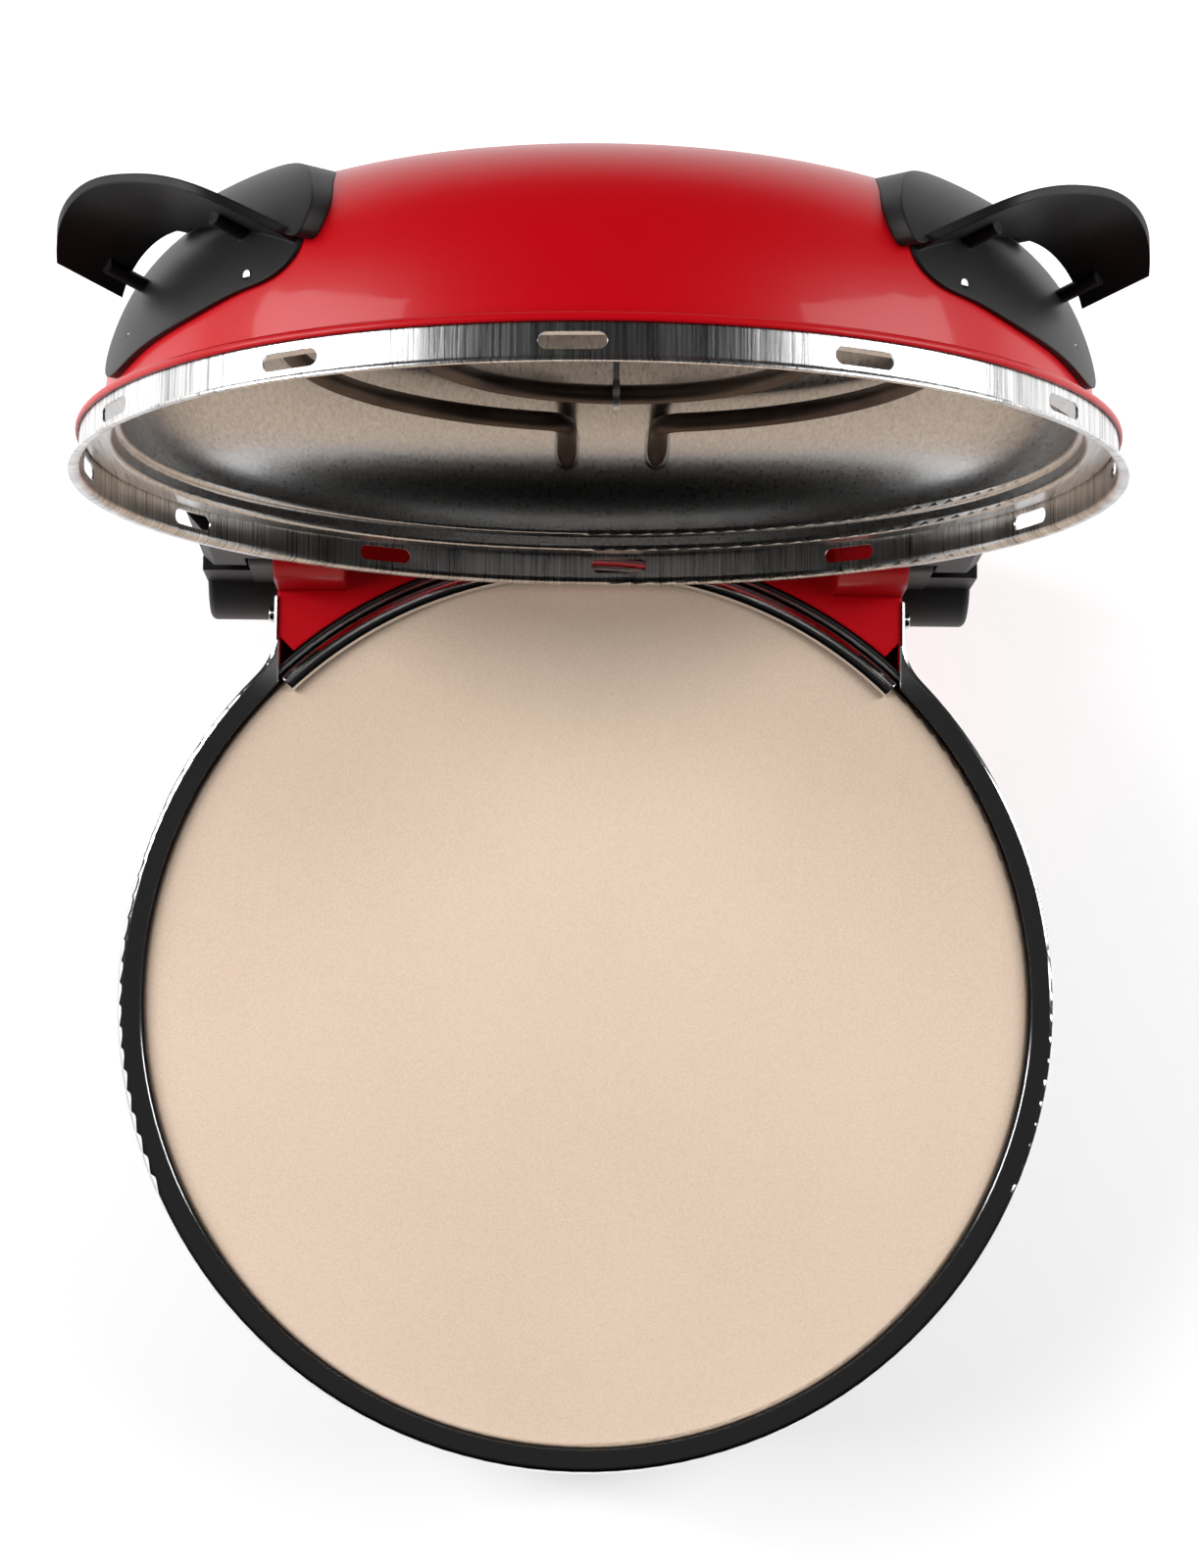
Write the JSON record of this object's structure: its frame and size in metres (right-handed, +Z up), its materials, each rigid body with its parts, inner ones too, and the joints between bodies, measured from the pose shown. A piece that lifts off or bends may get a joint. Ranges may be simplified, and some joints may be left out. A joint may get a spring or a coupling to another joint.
{
  "type": "countertop pizza oven",
  "caption": "Round countertop pizza oven: a stone in a rimmed base over a heater, under a hinged red domed lid with a second heater, side handles and a slotted band.",
  "frame": {"origin": "on the table, under the centre of the stone", "axes": "+Z up; -Y towards the front, where the controls are; +Y towards the hinge; +X to the right as seen from the front"},
  "size_m": [0.328, 0.3998, 0.4384],
  "materials": {
    "red_paint": "gloss",
    "black_paint": "satin",
    "brushed": "brushed",
    "polished": "polished",
    "galvanised": "matt",
    "stone": "matt",
    "black_plastic": "satin",
    "grey_plastic": "matt",
    "rubber": "matt",
    "element": "oxidised",
    "lens": "clear"
  },
  "bodies": {
    "base": {"base_pan": "black_paint", "bottom_plate": "galvanised", "plate_screws": "galvanised", "rim_band": "polished", "pizza_stone": "stone", "stone_tray": "galvanised", "rear_guard": "polished", "lower_element": "element", "element_posts": "galvanised", "thermal_fuse": "galvanised", "hinge_tower": "red_paint", "tower_back": "black_paint", "tower_screws": "galvanised", "cord_gland": "black_plastic", "arm_rivets": "polished", "hinge_bracket_left": "black_plastic", "hinge_bracket_right": "black_plastic", "hinge_pins": "galvanised", "feet": "black_plastic", "foot_pads": "rubber", "control_box": "black_plastic", "control_screws": "galvanised", "thermostat_body": "grey_plastic", "timer_body": "grey_plastic", "pilot_lens": "lens", "pilot_lamp": "grey_plastic", "terminal_block": "grey_plastic", "base_leads": "grey_plastic"},
    "lid": {"lid_shell": "red_paint", "slotted_band": "brushed", "lid_reflector": "brushed", "upper_element": "element", "element_flange": "galvanised", "element_clip": "galvanised", "hinge_arm_left": "black_plastic", "hinge_arm_right": "black_plastic", "arm_screws": "galvanised", "handle_left": "black_plastic", "handle_right": "black_plastic", "handle_screws": "galvanised"},
    "thermostat": {"thermostat_knob": "black_plastic", "thermostat_shaft": "galvanised"},
    "timer": {"timer_knob": "black_plastic", "timer_shaft": "galvanised"}
  },
  "joints": [
    {"name": "lid_hinge", "type": "hinge", "parent": "base", "child": "lid", "pos_m": [0, 0.1598, 0.1143], "axis": [1, 0, 0], "range_deg": [0, 91.4]},
    {"name": "thermostat_turn", "type": "hinge", "parent": "base", "child": "thermostat", "pos_m": [-0.034, -0.152, 0.038], "axis": [0, 1, 0], "range_deg": [0, 270]},
    {"name": "timer_turn", "type": "hinge", "parent": "base", "child": "timer", "pos_m": [0.034, -0.152, 0.038], "axis": [0, 1, 0], "range_deg": [0, 300]}
  ]
}
